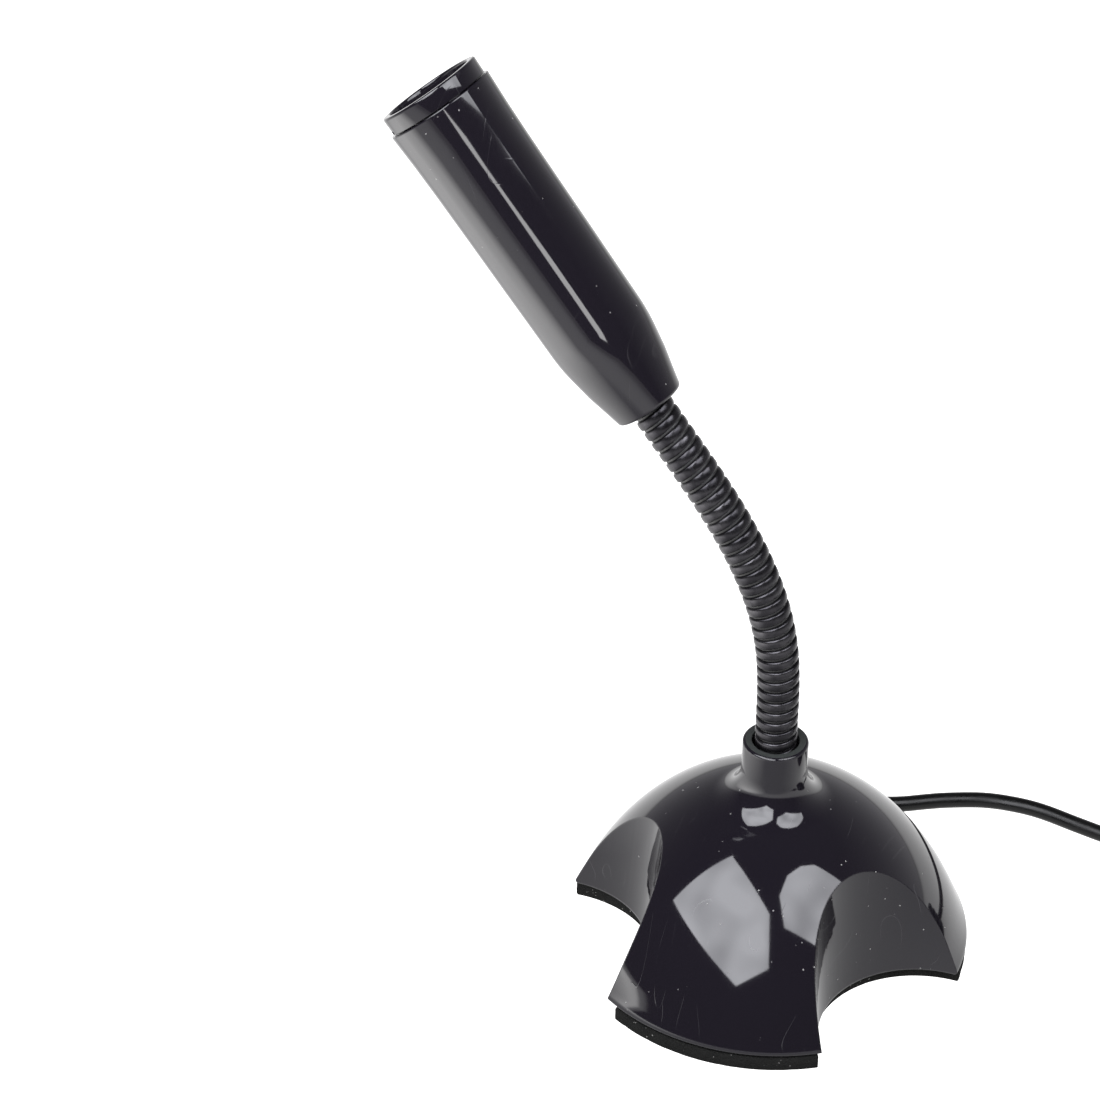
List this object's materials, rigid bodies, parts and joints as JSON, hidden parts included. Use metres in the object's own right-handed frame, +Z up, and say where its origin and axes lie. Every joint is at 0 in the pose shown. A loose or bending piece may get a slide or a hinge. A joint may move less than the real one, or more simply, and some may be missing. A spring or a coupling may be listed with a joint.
{
  "type": "desktop mic stand",
  "caption": "Slim desktop microphone on a bendable gooseneck with a domed, three-legged weighted base, a thin audio lead and a jack plug.",
  "frame": {"origin": "on the desk, on the round base's axis", "axes": "+Z up; -Y towards the front leg; +Y towards the back scallop, where the lead leaves"},
  "size_m": [0.1603, 0.0817, 0.1463],
  "materials": {
    "gloss_black": "high-gloss moulded ABS",
    "satin_black": "satin moulded ABS",
    "matt_black": "textured moulded ABS",
    "foam_black": "EVA foam",
    "rubber": "soft rubber",
    "cord_black": "satin PVC jacket",
    "nylon": "nylon",
    "insulator": "moulded insulator",
    "black_steel": "black-plated spring steel",
    "zinc_steel": "zinc-plated steel",
    "cast_iron": "plain iron",
    "aluminium": "plain aluminium",
    "nickel": "nickel plate"
  },
  "bodies": {
    "base": {"base_shell": "gloss_black", "base_plate": "matt_black", "plate_screw_1": "zinc_steel", "plate_screw_2": "zinc_steel", "plate_screw_3": "zinc_steel", "foam_mat": "foam_black", "ballast_weight": "cast_iron", "strain_relief": "cord_black", "cable_tie": "nylon", "neck_foot": "black_steel", "foot_ferrule": "zinc_steel", "star_washer": "zinc_steel", "lead_in_base": "cord_black", "cord": "cord_black", "cord_coil": "cord_black", "coil_tie": "nylon", "cord_tail": "cord_black", "plug_grip": "cord_black", "plug_sleeve": "nickel", "plug_insulator_1": "insulator", "plug_ring": "nickel", "plug_insulator_2": "insulator", "plug_tip": "nickel"},
    "link_1": {"neck_link_1": "black_steel", "lead_segment_1": "cord_black"},
    "link_2": {"neck_link_2": "black_steel", "lead_segment_2": "cord_black"},
    "link_3": {"neck_link_3": "black_steel", "lead_segment_3": "cord_black"},
    "link_4": {"neck_link_4": "black_steel", "lead_segment_4": "cord_black"},
    "link_5": {"neck_link_5": "black_steel", "lead_segment_5": "cord_black"},
    "link_6": {"neck_link_6": "black_steel", "lead_segment_6": "cord_black"},
    "link_7": {"neck_link_7": "black_steel", "lead_segment_7": "cord_black"},
    "link_8": {"neck_link_8": "black_steel", "lead_segment_8": "cord_black"},
    "head": {"head_barrel": "gloss_black", "front_ring": "satin_black", "front_grille": "satin_black", "foam_disc": "foam_black", "mic_capsule": "aluminium", "capsule_boot": "rubber", "neck_head_end": "black_steel", "head_ferrule": "zinc_steel", "lead_head": "cord_black"}
  },
  "joints": [
    {"name": "bend_1", "type": "hinge", "parent": "base", "child": "link_1", "pos_m": [0, 0, 0.044], "axis": [-0.0698, -0.9976, 0], "range_deg": [-27, 19]},
    {"name": "side_1", "type": "hinge", "parent": "link_1", "child": "link_2", "pos_m": [0, 0, 0.0509], "axis": [-0.9951, 0.0696, -0.0698], "range_deg": [-18, 18]},
    {"name": "bend_2", "type": "hinge", "parent": "link_2", "child": "link_3", "pos_m": [-0.00048, 0.00003, 0.05778], "axis": [-0.0698, -0.9976, 0], "range_deg": [-36, 10]},
    {"name": "side_2", "type": "hinge", "parent": "link_3", "child": "link_4", "pos_m": [-0.00203, 0.00014, 0.06451], "axis": [-0.9249, 0.0647, -0.3746], "range_deg": [-18, 18]},
    {"name": "bend_3", "type": "hinge", "parent": "link_4", "child": "link_5", "pos_m": [-0.00461, 0.00032, 0.0709], "axis": [-0.0698, -0.9976, 0], "range_deg": [-34.5, 11.5]},
    {"name": "side_3", "type": "hinge", "parent": "link_5", "child": "link_6", "pos_m": [-0.008, 0.00056, 0.07691], "axis": [-0.8172, 0.0571, -0.5736], "range_deg": [-18, 18]},
    {"name": "bend_4", "type": "hinge", "parent": "link_6", "child": "link_7", "pos_m": [-0.01194, 0.00084, 0.08256], "axis": [-0.0698, -0.9976, 0], "range_deg": [-30.5, 15.5]},
    {"name": "side_4", "type": "hinge", "parent": "link_7", "child": "link_8", "pos_m": [-0.01623, 0.00113, 0.08796], "axis": [-0.7642, 0.0534, -0.6428], "range_deg": [-18, 18]},
    {"name": "bend_5", "type": "hinge", "parent": "link_8", "child": "head", "pos_m": [-0.02065, 0.00144, 0.09325], "axis": [-0.0698, -0.9976, 0], "range_deg": [-26.5, 19.5]}
  ]
}
